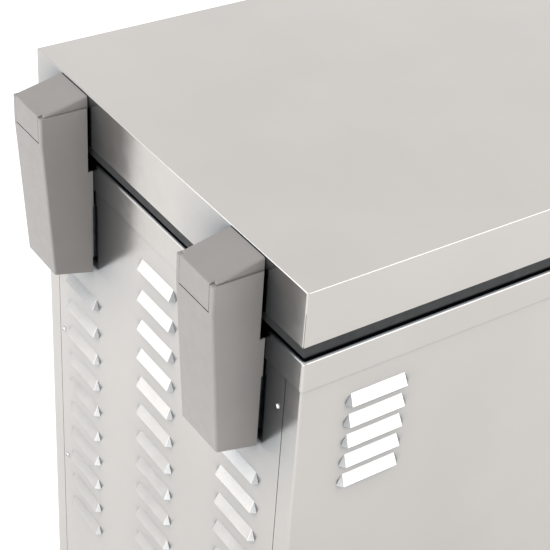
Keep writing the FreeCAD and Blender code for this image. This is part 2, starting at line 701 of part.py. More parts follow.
def battery_tray():
    """Floor tray with upturned edges and raised runners that keep the batteries off the floor."""
    gap = TRAY_CLEARANCE
    z0 = TUB_BOTTOM + TUB_WALL + GAP
    outer = rounded_box(-TUB_X + gap, TUB_X - gap, TUB_FRONT + gap, TUB_BACK - gap, z0, z0 + TRAY_EDGE,
                        TUB_CORNER_RADIUS - gap)
    gap = gap + LINER_SHEET
    inner = rounded_box(-TUB_X + gap, TUB_X - gap, TUB_FRONT + gap, TUB_BACK - gap, z0 + LINER_SHEET,
                        z0 + TRAY_EDGE + 1, TUB_CORNER_RADIUS - gap)
    tray = outer.cut(inner)
    pitch = 2 * TUB_X / TRAY_RUNNERS
    for k in range(TRAY_RUNNERS):
        x = -TUB_X + (k + 0.5) * pitch
        top = z0 + LINER_SHEET + TRAY_RUNNER_HEIGHT
        runner = box(x - TRAY_RUNNER_WIDTH / 2, x + TRAY_RUNNER_WIDTH / 2, TUB_FRONT + TRAY_RUNNER_INSET,
                     TUB_BACK - TRAY_RUNNER_INSET, z0 + LINER_SHEET / 2, top)
        runner = runner.makeFillet(TRAY_RUNNER_EDGE_RADIUS, edges_where(runner, at_height(top)))
        tray = tray.fuse(runner)
    return tray


def busbar_base(x):
    """Insulating block on the tub's rear wall."""
    z = RIM_TOP - BUSBAR_DOWN
    half = BUSBAR_LENGTH / 2
    base = box(x - half, x + half, TUB_BACK - BUSBAR_BASE, TUB_BACK - FIT, z - BUSBAR_BASE, z + BUSBAR_BASE)
    return base.makeFillet(2, edges_where(base, lambda e: e.BoundBox.YMax < TUB_BACK - BUSBAR_BASE + 0.1))


def busbar(x):
    """Flat bar with two studs for the cable lugs."""
    z = RIM_TOP - BUSBAR_DOWN
    half = BUSBAR_LENGTH / 2 - BUSBAR_END
    back = TUB_BACK - BUSBAR_BASE - FIT
    front = TUB_BACK - BUSBAR_BASE - BUSBAR_THICKNESS
    bar = box(x - half, x + half, front, back, z - BUSBAR_HALF_HEIGHT, z + BUSBAR_HALF_HEIGHT)
    studs = [cylinder(STUD_RADIUS, (x + side * STUD_SPACING / 2, front + 1, z), (0, -1, 0), STUD_LENGTH)
             for side in (-1, 1)]
    return bar.fuse(studs)


# ---------------------------------------------------------------- hinges
def local(points):
    """Moves (y, z) points given from the pivot to their place."""
    return [(PIVOT_Y + y, PIVOT_Z + z) for y, z in points]


def hinge_cover(centre):
    """Fixed moulded cover: open behind and on top, with a slot in front for the cap's skirt."""
    foot = COVER_FOOT_PROJECTION - PIVOT_BEHIND_LID
    rear = COVER_LID_GAP - PIVOT_BEHIND_LID
    on_rim = FIT + SHEET + GAP - END_OVERHANG - PIVOT_BEHIND_LID
    off_panel = COVER_PANEL_GAP - END_OVERHANG - PIVOT_BEHIND_LID
    wall_top = PIVOT_BELOW_TOP - COVER_WALL_TOP
    foot_front = PIVOT_BELOW_TOP - COVER_FOOT_FRONT
    foot_back = PIVOT_BELOW_TOP - COVER_FOOT_BACK
    step = PIVOT_BELOW_TOP - COVER_STEP
    kink = PIVOT_BELOW_TOP - COVER_KINK
    outline = [(rear, wall_top), (COVER_FRONT, wall_top), (COVER_FRONT, SEAM_UP), (foot, foot_front),
               (off_panel, foot_back), (off_panel, kink), (on_rim, kink), (on_rim, step), (rear, step)]
    x0, x1 = centre - COVER_X, centre + COVER_X
    shell = prism_x(local(outline), x0, x1)
    corners = edges_where(shell, lambda e: spans(e)[0] < 0.01 and e.BoundBox.YMin > PIVOT_Y + foot - 1
                          and e.BoundBox.ZLength > 5)
    shell = shell.makeFillet(COVER_EDGE_RADIUS, corners)
    wall = COVER_WALL
    beyond = 2 * PIVOT_BEHIND_LID
    inside = COVER_FRONT - wall
    hollow = [(-beyond, wall_top - wall), (inside, wall_top - wall), (inside, SEAM_UP),
              (foot - wall, foot_front + wall), (-beyond, foot_back + 2 * wall)]
    shell = shell.cut(prism_x(local(hollow), x0 + wall, x1 - wall))
    open_top = box(x0 + wall, x1 - wall, PIVOT_Y - beyond, PIVOT_Y, PIVOT_Z, PIVOT_Z + beyond)
    plates = cylinder(inside, (x0 + wall, PIVOT_Y, PIVOT_Z), (1, 0, 0), COVER_WIDTH - 2 * wall)
    turn = COVER_FRONT_RETURN
    slot = box(x0 + turn, x1 - turn, PIVOT_Y - beyond, PIVOT_Y + beyond, PIVOT_Z, PIVOT_Z + beyond)
    skirt = cylinder(CAP_SKIRT_RADIUS + SEAM_GAP, (x0 + turn, PIVOT_Y, PIVOT_Z), (1, 0, 0),
                     COVER_WIDTH - 2 * turn)
    return shell.cut([open_top, plates, slot, skirt])


def hinge_cap(centre):
    """Top piece that turns with the lid: sloped top, low side plates, front skirt and a screw boss."""
    rear = CAP_LID_GAP - PIVOT_BEHIND_LID
    z_front = PIVOT_BELOW_TOP - COVER_CAP_FRONT
    z_back = PIVOT_BELOW_TOP - COVER_CAP_BACK
    outline = [(COVER_FRONT, SEAM_UP), (COVER_FRONT, z_front), (rear, z_back), (rear, SEAM_UP)]
    solid = prism_x(local(outline), centre - CAP_X, centre + CAP_X)
    top_edges = edges_where(solid, lambda e: e.BoundBox.ZMin > PIVOT_Z + z_front - 0.1
                            and e.BoundBox.YMax > PIVOT_Y + rear + 1)
    solid = solid.makeFillet(CAP_EDGE_RADIUS, top_edges)
    wall = CAP_WALL
    inside = COVER_FRONT - wall
    hollow = [(inside, SEAM_UP - 1), (inside, z_front - wall),
              (rear - 1, z_back - wall), (rear - 1, SEAM_UP - 1)]
    solid = solid.cut(prism_x(local(hollow), centre - CAP_X + wall, centre + CAP_X - wall))
    plate_bottom = PIVOT_Z + PIVOT_BELOW_TOP - COVER_WALL_TOP - COVER_WALL + GAP
    x0, x1 = centre - COVER_X, centre + COVER_X
    below = box(x0, x1, PIVOT_Y + rear - 1, PIVOT_Y + COVER_FRONT - wall, PIVOT_Z + SEAM_UP - 1, plate_bottom)
    solid = solid.cut(below)
    reach = cylinder(COVER_FRONT - COVER_WALL - GAP, (x0, PIVOT_Y, PIVOT_Z), (1, 0, 0), COVER_WIDTH)
    for side in (-1, 1):
        edge0, edge1 = sorted((centre + side * CAP_SKIRT_X, centre + side * COVER_X))
        corner = box(edge0, edge1, PIVOT_Y, PIVOT_Y + COVER_PROJECTION, PIVOT_Z + SEAM_UP - 1, TOP)
        solid = solid.cut(corner.cut(reach))
    boss = cylinder(CAP_BOSS_RADIUS, cap_screw_foot(centre, CAP_TAB_TOP + FIT), (0, 0, 1),
                    CAP_BOSS_TOP - CAP_TAB_TOP - FIT)
    return solid.fuse(boss).cut(cylinder(CAP_SCREW_RADIUS + FIT, cap_screw_foot(centre, 10), (0, 0, 1), 6))


def hinge_lid_bracket(centre):
    """Bolts to the lid's back; its two arms turn on the pin and carry the thrust pin."""
    back = PIVOT_Y - PIVOT_BEHIND_LID
    on_lid = FIT - PIVOT_BEHIND_LID
    plate_up, plate_down = 17, 12
    plate = box(centre - ARM_OUTER_X, centre + ARM_OUTER_X, back + FIT, back + HINGE_PLATE,
                PIVOT_Z - plate_down, PIVOT_Z + plate_up)
    arm = [(on_lid, plate_up), (-14, 9.5), (4, 6), (7, 0),
           (4, -6), (-12, -20), (-21, -20), (on_lid, -plate_down)]
    arms = []
    for side in (-1, 1):
        x0, x1 = sorted((side * ARM_OUTER_X, side * (ARM_OUTER_X - HINGE_PLATE)))
        arms.append(prism_x(local(arm), centre + x0, centre + x1))
    tab = box(centre - ARM_OUTER_X, centre + ARM_OUTER_X, back + FIT, PIVOT_Y - 11,
              PIVOT_Z + CAP_TAB_TOP - HINGE_PLATE, PIVOT_Z + CAP_TAB_TOP)
    bracket = plate.fuse(arms + [tab])
    start = centre - COVER_X
    bracket = bracket.cut(cylinder(PIN_RADIUS + FIT, (start, PIVOT_Y, PIVOT_Z), (1, 0, 0), COVER_WIDTH))
    thrust = (start, PIVOT_Y - THRUST_PIN_BACK, PIVOT_Z - THRUST_PIN_DOWN)
    bracket = bracket.cut(cylinder(THRUST_PIN_RADIUS + FIT, thrust, (1, 0, 0), COVER_WIDTH))
    for side in (-1, 1):
        hole = (centre + side * LID_SCREW_X, back - 2, PIVOT_Z + LID_SCREW_Z)
        bracket = bracket.cut(cylinder(HINGE_SCREW_RADIUS + FIT, hole, (0, 1, 0), 8))
    return bracket.cut(cylinder(CAP_SCREW_RADIUS + FIT, cap_screw_foot(centre, 6), (0, 0, 1), 8))


def cap_screw_foot(centre, height):
    """Point on the cap screw's axis, at a height above the pivot."""
    return (centre, PIVOT_Y - CAP_SCREW_BACK, PIVOT_Z + height)


def hinge_cap_screws():
    """Screws up through the lid brackets' tabs into the caps' bosses."""
    screws = []
    under_tab = CAP_TAB_TOP - HINGE_PLATE
    for centre in HINGE_CENTRES.values():
        head = cylinder(2 * CAP_SCREW_RADIUS, cap_screw_foot(centre, under_tab - 1.6), (0, 0, 1), 1.6)
        shank = cylinder(CAP_SCREW_RADIUS, cap_screw_foot(centre, under_tab - 1), (0, 0, 1), 6.5)
        screws.append(head.fuse(shank))
    return screws


def hinge_body_bracket(centre):
    """Channel on the rear panel: cheeks that hold the pin, and shelves for the plunger and the spring."""
    back = -PIVOT_BEHIND_LID - END_OVERHANG + FIT
    top = RIM_BOTTOM - PIVOT_Z - 1.5
    bottom = -BRACKET_BOTTOM_DOWN
    plate = box(centre - CHEEK_OUTER_X, centre + CHEEK_OUTER_X, PIVOT_Y + back, PIVOT_Y + back + HINGE_PLATE,
                PIVOT_Z + bottom, PIVOT_Z + top)
    near_lid = -PIVOT_BEHIND_LID + COVER_LID_GAP + 0.5
    crest = PIVOT_BELOW_TOP - COVER_WALL_TOP - COVER_WALL - GAP
    cheek = [(back, top), (near_lid, top), (near_lid, 0), (near_lid + 12, crest), (4, crest), (8, 0),
             (8, -60), (4, bottom + 18), (-14, bottom), (back, bottom)]
    pieces = []
    for side in (-1, 1):
        x0, x1 = sorted((side * CHEEK_OUTER_X, side * CHEEK_INNER_X))
        pieces.append(prism_x(local(cheek), centre + x0, centre + x1))
    inner = CHEEK_INNER_X + 0.5
    x0, x1 = centre - inner, centre + inner
    pieces.append(box(x0, x1, PIVOT_Y + near_lid, PIVOT_Y - 9, PIVOT_Z - GUIDE_DOWN - GUIDE_THICKNESS,
                      PIVOT_Z - GUIDE_DOWN))
    pieces.append(box(x0, x1, PIVOT_Y + back, PIVOT_Y - 6, PIVOT_Z - SPRING_SEAT_DOWN - GUIDE_THICKNESS,
                      PIVOT_Z - SPRING_SEAT_DOWN))
    bracket = plate.fuse(pieces)
    start = centre - COVER_X
    bracket = bracket.cut(cylinder(PIN_RADIUS + FIT, (start, PIVOT_Y, PIVOT_Z), (1, 0, 0), COVER_WIDTH))
    stem = (centre, PIVOT_Y - PLUNGER_BACK, PIVOT_Z - GUIDE_DOWN - 10)
    bracket = bracket.cut(cylinder(PLUNGER_STEM_RADIUS + 2 * FIT, stem, (0, 0, 1), 20))
    for x, z in body_screw_places():
        if abs(x - centre) < COVER_X:
            bracket = bracket.cut(cylinder(HINGE_SCREW_RADIUS + FIT, (x, BODY_BACK - 3, z), (0, 1, 0), 8))
    return bracket


def hinge_pin(centre):
    return cylinder(PIN_RADIUS, (centre - CHEEK_OUTER_X, PIVOT_Y, PIVOT_Z), (1, 0, 0), 2 * CHEEK_OUTER_X)


def hinge_thrust_pin(centre):
    start = (centre - ARM_OUTER_X, PIVOT_Y - THRUST_PIN_BACK, PIVOT_Z - THRUST_PIN_DOWN)
    return cylinder(THRUST_PIN_RADIUS, start, (1, 0, 0), 2 * ARM_OUTER_X)


def hinge_plunger(centre):
    y = PIVOT_Y - PLUNGER_BACK
    top = PIVOT_Z - PLUNGER_TOP_DOWN
    collar = PIVOT_Z - PLUNGER_COLLAR_DOWN - PLUNGER_COLLAR
    pad = cylinder(PLUNGER_PAD_RADIUS, (centre, y, top - PLUNGER_PAD), (0, 0, 1), PLUNGER_PAD)
    pad = pad.makeFillet(0.8, edges_where(pad, at_height(top)))
    stem = cylinder(PLUNGER_STEM_RADIUS, (centre, y, collar), (0, 0, 1), top - collar - 1)
    disc = cylinder(PLUNGER_COLLAR_RADIUS, (centre, y, collar), (0, 0, 1), PLUNGER_COLLAR)
    return pad.fuse([stem, disc])


def hinge_spring(centre):
    """Open coil between the seat and the plunger's collar."""
    seat = PIVOT_Z - SPRING_SEAT_DOWN
    collar = PIVOT_Z - PLUNGER_COLLAR_DOWN - PLUNGER_COLLAR
    rise = collar - seat - 2 * SPRING_WIRE_RADIUS - 2 * FIT
    helix = Part.makeHelix(rise / SPRING_TURNS, rise, SPRING_MEAN_RADIUS)
    section = Part.makeCircle(SPRING_WIRE_RADIUS, Vector(SPRING_MEAN_RADIUS, 0, 0), Vector(0, 1, 0))
    coil = Part.Wire(helix).makePipeShell([Part.Wire(section)], True, True)
    return moved(coil, centre, PIVOT_Y - PLUNGER_BACK, seat + SPRING_WIRE_RADIUS + FIT)


def body_screw_places():
    return [(centre + side * HINGE_SCREW_X, PIVOT_Z - down)
            for centre in HINGE_CENTRES.values() for down in BODY_SCREW_DOWN for side in (-1, 1)]


def hinge_body_screws():
    screws = []
    seat = BODY_BACK + FIT + HINGE_PLATE
    grip = HINGE_PLATE + SHEET + BACKING_PLATE + SCREW_END
    outer = seat + HINGE_SCREW_HEAD
    for x, z in body_screw_places():
        head = cylinder(HINGE_SCREW_HEAD_RADIUS, (x, seat, z), (0, 1, 0), HINGE_SCREW_HEAD)
        head = head.makeFillet(1, edges_where(head, lambda e: e.BoundBox.YMin > outer - 0.01))
        shank = cylinder(HINGE_SCREW_RADIUS, (x, seat + 1, z), (0, -1, 0), grip)
        screws.append(head.fuse(shank))
    return screws


def hinge_lid_screws():
    screws = []
    seat = LID_BACK + HINGE_PLATE
    grip = HINGE_PLATE + SHEET + BACKING_PLATE + SCREW_END
    for x in lid_screw_places():
        z = PIVOT_Z + LID_SCREW_Z
        head = cylinder(HINGE_SCREW_HEAD_RADIUS, (x, seat, z), (0, 1, 0), HINGE_SCREW_HEAD)
        shank = cylinder(HINGE_SCREW_RADIUS, (x, seat + 1, z), (0, -1, 0), grip)
        screws.append(head.fuse(shank))
    return screws


def hinge_backing_plates():
    plates = []
    back = BODY_BACK - SHEET - FIT
    for centre in HINGE_CENTRES.values():
        bottom = PIVOT_Z - BODY_SCREW_DOWN[1] - BODY_BACKING_MARGIN
        top = PIVOT_Z - BODY_SCREW_DOWN[0] + BODY_BACKING_MARGIN
        plate = box(centre - BACKING_HALF_WIDTH, centre + BACKING_HALF_WIDTH, back - BACKING_PLATE, back,
                    bottom, top)
        for x, z in body_screw_places():
            plate = plate.cut(cylinder(HINGE_SCREW_RADIUS + FIT, (x, BODY_BACK - 10, z), (0, 1, 0), 12))
        plates.append(plate)
    return plates


# ---------------------------------------------------------------- machine compartment
def gland_places():
    return [GLAND_X + side * GLAND_SPACING / 2 for side in (-1, 1)]


def cable_glands():
    """Two nylon glands: hexagon and domed nut outside the rear panel, thread and lock nut inside."""
    glands = []
    for x in gland_places():
        y = BODY_BACK
        pieces = [hexagon(GLAND_HEX, (x, y, GLAND_HEIGHT), GLAND_BASE)]
        y = y + GLAND_BASE
        pieces.append(cylinder(GLAND_HEX / 2 - 1, (x, y, GLAND_HEIGHT), (0, 1, 0), GLAND_NECK))
        y = y + GLAND_NECK
        pieces.append(hexagon(GLAND_HEX, (x, y, GLAND_HEIGHT), GLAND_NUT))
        y = y + GLAND_NUT
        pieces.append(Part.makeCone(GLAND_HEX / 2 - 0.5, GLAND_BORE_RADIUS + 2, GLAND_DOME,
                                    Vector(x, y, GLAND_HEIGHT), Vector(0, 1, 0)))
        inner = BODY_BACK - GLAND_THREAD_LENGTH
        thread = cylinder(GLAND_THREAD_RADIUS, (x, inner, GLAND_HEIGHT), (0, 1, 0), GLAND_THREAD_LENGTH + 1)
        pieces.append(thread)
        lock = (x, BODY_BACK - SHEET - GLAND_LOCK_NUT - 0.5, GLAND_HEIGHT)
        pieces.append(hexagon(GLAND_HEX, lock, GLAND_LOCK_NUT))
        through = y + GLAND_DOME - inner + 2
        bore = cylinder(GLAND_BORE_RADIUS, (x, inner - 1, GLAND_HEIGHT), (0, 1, 0), through)
        glands.append(pieces[0].fuse(pieces[1:]).cut(bore))
    return glands


def machine_y():
    return BODY_BACK - MACHINE_DEPTH / 2


def grommet_places():
    return [(COMPRESSOR_X + sx * GROMMET_SPACING_X / 2, machine_y() + sy * GROMMET_SPACING_Y / 2)
            for sx in (-1, 1) for sy in (-1, 1)]


def compressor():
    """Welded can on a foot plate."""
    foot_z = PAN_TOP + GROMMET_HEIGHT
    centre_x, centre_y = COMPRESSOR_X, machine_y()
    can_z = foot_z + 2 * COMPRESSOR_PLATE
    can = cylinder(COMPRESSOR_RADIUS, (centre_x, centre_y, can_z), (0, 0, 1), COMPRESSOR_HEIGHT)
    ends = edges_where(can, lambda e: spans(e)[2] < 0.01)
    can = can.makeFillet(COMPRESSOR_DOME, ends)
    band_z = foot_z + 0.6 * COMPRESSOR_HEIGHT
    band = cylinder(COMPRESSOR_RADIUS + 2, (centre_x, centre_y, band_z), (0, 0, 1), COMPRESSOR_BAND)
    x = GROMMET_SPACING_X / 2 + COMPRESSOR_PLATE_MARGIN
    y = GROMMET_SPACING_Y / 2 + COMPRESSOR_PLATE_MARGIN
    plate = rounded_box(centre_x - x, centre_x + x, centre_y - y, centre_y + y,
                        foot_z, foot_z + COMPRESSOR_PLATE, COMPRESSOR_PLATE_MARGIN - 2)
    saddle_foot = (centre_x, centre_y, foot_z + 1)
    saddle = cylinder(0.7 * COMPRESSOR_RADIUS, saddle_foot, (0, 0, 1), 6 * COMPRESSOR_PLATE)
    shape = can.fuse([band, plate, saddle])
    for x, y in grommet_places():
        hole = cylinder(GROMMET_RADIUS / 2 + FIT, (x, y, foot_z - 1), (0, 0, 1), 2 * COMPRESSOR_PLATE)
        shape = shape.cut(hole)
    return shape


def compressor_grommets():
    grommets = []
    for x, y in grommet_places():
        neck_height = PAN_TOP - BASE_HEIGHT + GROMMET_HEIGHT + COMPRESSOR_PLATE + GROMMET_CAP - 1
        neck = cylinder(GROMMET_RADIUS / 2, (x, y, BASE_HEIGHT), (0, 0, 1), neck_height)
        body = cylinder(GROMMET_RADIUS, (x, y, PAN_TOP), (0, 0, 1), GROMMET_HEIGHT - FIT)
        cap_z = PAN_TOP + GROMMET_HEIGHT + COMPRESSOR_PLATE + FIT
        cap = cylinder(GROMMET_RADIUS, (x, y, cap_z), (0, 0, 1), GROMMET_CAP)
        grommets.append(neck.fuse([body, cap]))
    return grommets


def coil_front():
    return BULKHEAD_BACK + 14


def coil_tube_heights():
    pitch = COIL_HEIGHT / COIL_ROWS
    return [COIL_Z - COIL_HEIGHT / 2 + (k + 0.5) * pitch for k in range(COIL_ROWS)]


def condenser_fins():
    y = coil_front()
    pitch = COIL_WIDTH / COIL_FINS
    z0 = COIL_Z - COIL_HEIGHT / 2
    fins = []
    for k in range(COIL_FINS):
        x = COIL_X - COIL_WIDTH / 2 + (k + 0.5) * pitch
        fin = box(x - FIN_SHEET / 2, x + FIN_SHEET / 2, y, y + COIL_DEPTH, z0, z0 + COIL_HEIGHT)
        holes = [cylinder(COIL_TUBE_RADIUS + FIT, (x - 2, y + COIL_DEPTH / 2, z), (1, 0, 0), 4)
                 for z in coil_tube_heights()]
        fins.append(fin.cut(holes))
    return fins


def condenser_tube():
    """One serpentine tube: straight runs joined by half-round bends."""
    y = coil_front() + COIL_DEPTH / 2
    heights = coil_tube_heights()
    x0 = COIL_X - COIL_WIDTH / 2 - 4
    x1 = COIL_X + COIL_WIDTH / 2 + 4
    bend = (heights[1] - heights[0]) / 2
    path = []
    for k, z in enumerate(heights):
        start, end = (x0, x1) if k % 2 == 0 else (x1, x0)
        path.append(Part.makeLine(Vector(start, y, z), Vector(end, y, z)))
        if k + 1 < len(heights):
            out = bend if end == x1 else -bend
            turn = Part.Arc(Vector(end, y, z), Vector(end + out, y, z + bend), Vector(end, y, z + 2 * bend))
            path.append(turn.toShape())
    section = Part.makeCircle(COIL_TUBE_RADIUS, Vector(x0, y, heights[0]), Vector(1, 0, 0))
    return Part.Wire(path).makePipeShell([Part.Wire(section)], True, False)


def fan_plane():
    return coil_front() + COIL_DEPTH + 6


def fan_shroud():
    """Square plate with a short throat; three struts carry the motor behind it."""
    y = fan_plane()
    half = COIL_WIDTH / 2
    plate = box(COIL_X - half, COIL_X + half, y, y + 2, COIL_Z - half, COIL_Z + half)
    throat = cylinder(FAN_OPENING_RADIUS + 2, (COIL_X, y, COIL_Z), (0, 1, 0), FAN_DEPTH)
    bore = cylinder(FAN_OPENING_RADIUS, (COIL_X, y - 1, COIL_Z), (0, 1, 0), FAN_DEPTH + 20)
    shroud = plate.fuse(throat).cut(bore)
    struts = []
    for k in range(3):
        strut = box(MOTOR_RADIUS - 1, FAN_OPENING_RADIUS + 1, FAN_DEPTH - 4, FAN_DEPTH, -STRUT / 2, STRUT / 2)
        strut.rotate(Vector(0, 0, 0), Vector(0, 1, 0), 90 + 120 * k)
        struts.append(moved(strut, COIL_X, y, COIL_Z))
    ring = cylinder(MOTOR_RADIUS + 3, (COIL_X, y + FAN_DEPTH - 4, COIL_Z), (0, 1, 0), 4)
    seat = cylinder(MOTOR_RADIUS + FIT, (COIL_X, y, COIL_Z), (0, 1, 0), FAN_DEPTH + 20)
    return shroud.fuse(struts + [ring]).cut(seat)


def motor_start():
    return fan_plane() + FAN_DEPTH - 5


def fan_motor():
    start = motor_start()
    motor = cylinder(MOTOR_RADIUS, (COIL_X, start, COIL_Z), (0, 1, 0), MOTOR_LENGTH)
    motor = motor.makeFillet(3, edges_where(motor, lambda e: e.BoundBox.YMin > start + MOTOR_LENGTH - 0.01))
    return motor.cut(cylinder(FAN_SHAFT_RADIUS + FIT, (COIL_X, start - 1, COIL_Z), (0, 1, 0), MOTOR_BORE + 1))


def fan_shaft():
    start = fan_plane() + FAN_TIP_GAP
    length = motor_start() + MOTOR_BORE - GAP - start
    return cylinder(FAN_SHAFT_RADIUS, (COIL_X, start, COIL_Z), (0, 1, 0), length)


def fan_rotor():
    """Hub with pitched blades, one solid."""
    y = fan_plane() + FAN_TIP_GAP
    length = FAN_DEPTH - 10
    hub = cylinder(FAN_HUB_RADIUS, (0, 0, 0), (0, 1, 0), length)
    tip = FAN_OPENING_RADIUS - FAN_TIP_GAP
    blades = []
    for k in range(FAN_BLADES):
        blade = box(FAN_HUB_RADIUS - 2, tip + 4, -1, 1, -17, 17)
        blade.rotate(Vector(0, 0, 0), Vector(1, 0, 0), FAN_BLADE_PITCH)
        blade.translate(Vector(0, length / 2, 0))
        blade.rotate(Vector(0, 0, 0), Vector(0, 1, 0), 360.0 * k / FAN_BLADES)
        blades.append(blade)
    rotor = hub.fuse(blades).common(cylinder(tip, (0, 0, 0), (0, 1, 0), length))
    rotor = rotor.cut(cylinder(FAN_SHAFT_RADIUS + FIT, (0, -1, 0), (0, 1, 0), length + 2))
    return moved(rotor, COIL_X, y, COIL_Z)


def control_box_base():
    y0 = BULKHEAD_BACK + FIT
    half_x = CONTROL_WIDTH / 2
    half_z = CONTROL_HEIGHT / 2
    wall = CONTROL_WALL
    outer = box(CONTROL_X - half_x, CONTROL_X + half_x, y0, y0 + CONTROL_DEPTH,
                CONTROL_Z - half_z, CONTROL_Z + half_z)
    inner = box(CONTROL_X - half_x + wall, CONTROL_X + half_x - wall, y0 + wall, y0 + CONTROL_DEPTH + 1,
                CONTROL_Z - half_z + wall, CONTROL_Z + half_z - wall)
    return outer.cut(inner)


def control_box_cover():
    y0 = BULKHEAD_BACK + FIT + CONTROL_DEPTH + FIT
    y1 = y0 + CONTROL_COVER
    half_x = CONTROL_WIDTH / 2 + CONTROL_COVER_LIP
    half_z = CONTROL_HEIGHT / 2 + CONTROL_COVER_LIP
    cover = box(CONTROL_X - half_x, CONTROL_X + half_x, y0, y1, CONTROL_Z - half_z, CONTROL_Z + half_z)
    return cover.makeFillet(1.5, edges_where(cover, lambda e: e.BoundBox.YMin > y1 - 0.01))


def controller_board():
    floor = BULKHEAD_BACK + FIT + CONTROL_WALL
    y0 = floor + BOARD_STANDOFF
    half_x = CONTROL_WIDTH / 2 - BOARD_INSET
    half_z = CONTROL_HEIGHT / 2 - BOARD_INSET
    board = box(CONTROL_X - half_x, CONTROL_X + half_x, y0, y0 + BOARD_THICKNESS,
                CONTROL_Z - half_z, CONTROL_Z + half_z)
    posts = []
    for sx in (-1, 1):
        for sz in (-1, 1):
            start = (CONTROL_X + sx * (half_x - 5), floor + FIT, CONTROL_Z + sz * (half_z - 5))
            posts.append(cylinder(3, start, (0, 1, 0), BOARD_STANDOFF + 1))
    parts = [box(CONTROL_X - 30, CONTROL_X + 10, y0 + 1, y0 + 24, CONTROL_Z - 50, CONTROL_Z - 10),
             cylinder(9, (CONTROL_X + 30, y0 + 1, CONTROL_Z + 30), (0, 1, 0), 28),
             box(CONTROL_X - 40, CONTROL_X - 10, y0 + 1, y0 + 14, CONTROL_Z + 20, CONTROL_Z + 50)]
    return board.fuse(posts + parts)


# ---------------------------------------------------------------- build
def build():
    os.makedirs("parts", exist_ok=True)
    save("lid_outer_shell", lid_outer_shell())
    save("lid_inner_liner", lid_inner_liner())
    save("lid_insulation", lid_insulation())
    save("lid_backing_plates", lid_backing_plates())
    save("lid_seal_retainer", lid_seal_retainer())
    save("lid_gasket", lid_gasket())
    save("lid_handle", lid_handle())
    panel = side_panel()
    save("side_panel_right", panel)
    save("side_panel_left", mirrored_x(panel))
    save("rear_panel", rear_panel())
    save("front_panel", front_panel())
    save("rear_panel_screws", panel_screws(BODY_BACK, 1))
    save("front_panel_screws", panel_screws(BODY_FRONT, -1))
    save("rim_frame", rim_frame())
    save("base_pan", base_pan())
    save("rubber_feet", rubber_feet())
    save("foot_bolts", foot_bolts())
    save("compartment_bulkhead", compartment_bulkhead())
    save("inner_liner", inner_liner())
    save("wall_insulation", wall_insulation())
    save("battery_tray", battery_tray())
    for name, x in (("negative", -BUSBAR_X), ("positive", BUSBAR_X)):
        save("busbar_insulator_" + name, busbar_base(x))
        save("busbar_" + name, busbar(x))
    for side, centre in HINGE_CENTRES.items():
        save("hinge_cover_" + side, hinge_cover(centre))
        save("hinge_cap_" + side, hinge_cap(centre))
        save("hinge_lid_bracket_" + side, hinge_lid_bracket(centre))
        save("hinge_body_bracket_" + side, hinge_body_bracket(centre))
        save("hinge_pin_" + side, hinge_pin(centre))
        save("hinge_thrust_pin_" + side, hinge_thrust_pin(centre))
        save("hinge_plunger_" + side, hinge_plunger(centre))
        save("hinge_spring_" + side, hinge_spring(centre))
    save("hinge_body_screws", hinge_body_screws())
    save("hinge_lid_screws", hinge_lid_screws())
    save("hinge_cap_screws", hinge_cap_screws())
    save("hinge_backing_plates", hinge_backing_plates())
    save("cable_glands", cable_glands())
    save("compressor", compressor())
    save("compressor_grommets", compressor_grommets())
    save("condenser_fins", condenser_fins())
    save("condenser_tube", condenser_tube())
    save("fan_shroud", fan_shroud())
    save("fan_motor", fan_motor())
    save("fan_shaft", fan_shaft())
    save("fan_rotor", fan_rotor())
    save("control_box_base", control_box_base())
    save("control_box_cover", control_box_cover())
    save("controller_board", controller_board())


build()
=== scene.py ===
"""Looks of the battery box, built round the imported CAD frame.  Metres, +Z up, front towards -Y."""
import json
import math

import bmesh
import bpy
from mathutils import Euler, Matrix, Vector


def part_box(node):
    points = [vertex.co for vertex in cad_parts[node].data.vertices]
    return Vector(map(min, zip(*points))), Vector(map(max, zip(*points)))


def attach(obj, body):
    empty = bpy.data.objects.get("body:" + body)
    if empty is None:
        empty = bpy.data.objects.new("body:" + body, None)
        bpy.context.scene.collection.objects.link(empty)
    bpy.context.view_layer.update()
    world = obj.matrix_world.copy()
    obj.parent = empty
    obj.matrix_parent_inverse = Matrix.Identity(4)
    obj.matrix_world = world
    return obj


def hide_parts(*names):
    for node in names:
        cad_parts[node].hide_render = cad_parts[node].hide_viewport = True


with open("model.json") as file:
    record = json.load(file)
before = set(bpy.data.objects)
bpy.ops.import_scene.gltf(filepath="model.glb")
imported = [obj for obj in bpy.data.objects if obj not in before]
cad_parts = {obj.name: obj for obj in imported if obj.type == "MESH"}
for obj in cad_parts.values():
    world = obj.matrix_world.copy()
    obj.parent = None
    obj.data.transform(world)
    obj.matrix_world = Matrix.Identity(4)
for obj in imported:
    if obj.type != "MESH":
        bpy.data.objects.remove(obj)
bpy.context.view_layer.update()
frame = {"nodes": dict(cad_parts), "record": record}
scene = bpy.context.scene
SLOTS = {s["node"]: s["material_slot"] for s in frame["record"]["subparts"]}
LID_LOW, LID_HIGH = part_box("lid_outer_shell")

# The camera, solved from the photograph's straight edges. Its place is given from the lid's rear left corner.
CAMERA_FROM_CORNER = Vector((-0.8555, 0.6615, 0.7795))
CAMERA_TURN_DEGREES = (54.733, -3.339, -123.755)
CAMERA_LENS_MM = 99.51
CAMERA_SENSOR_MM = 36.0
CAMERA_REACH = 50.0

# The pale studio round the box, as (height, level): 0 is straight down, 0.5 the horizon and 1 straight up.
STUDIO_LEVELS = [(0.0, 0.75), (0.49, 0.75), (0.505, 1.0), (0.56, 1.0), (0.66, 0.75), (1.0, 0.83)]
STUDIO_STRENGTH = 1.75
FLOOR_HALF = 12.0
FLOOR_GREY = (0.93, 0.93, 0.93)
FLOOR_ROUGHNESS = 0.9

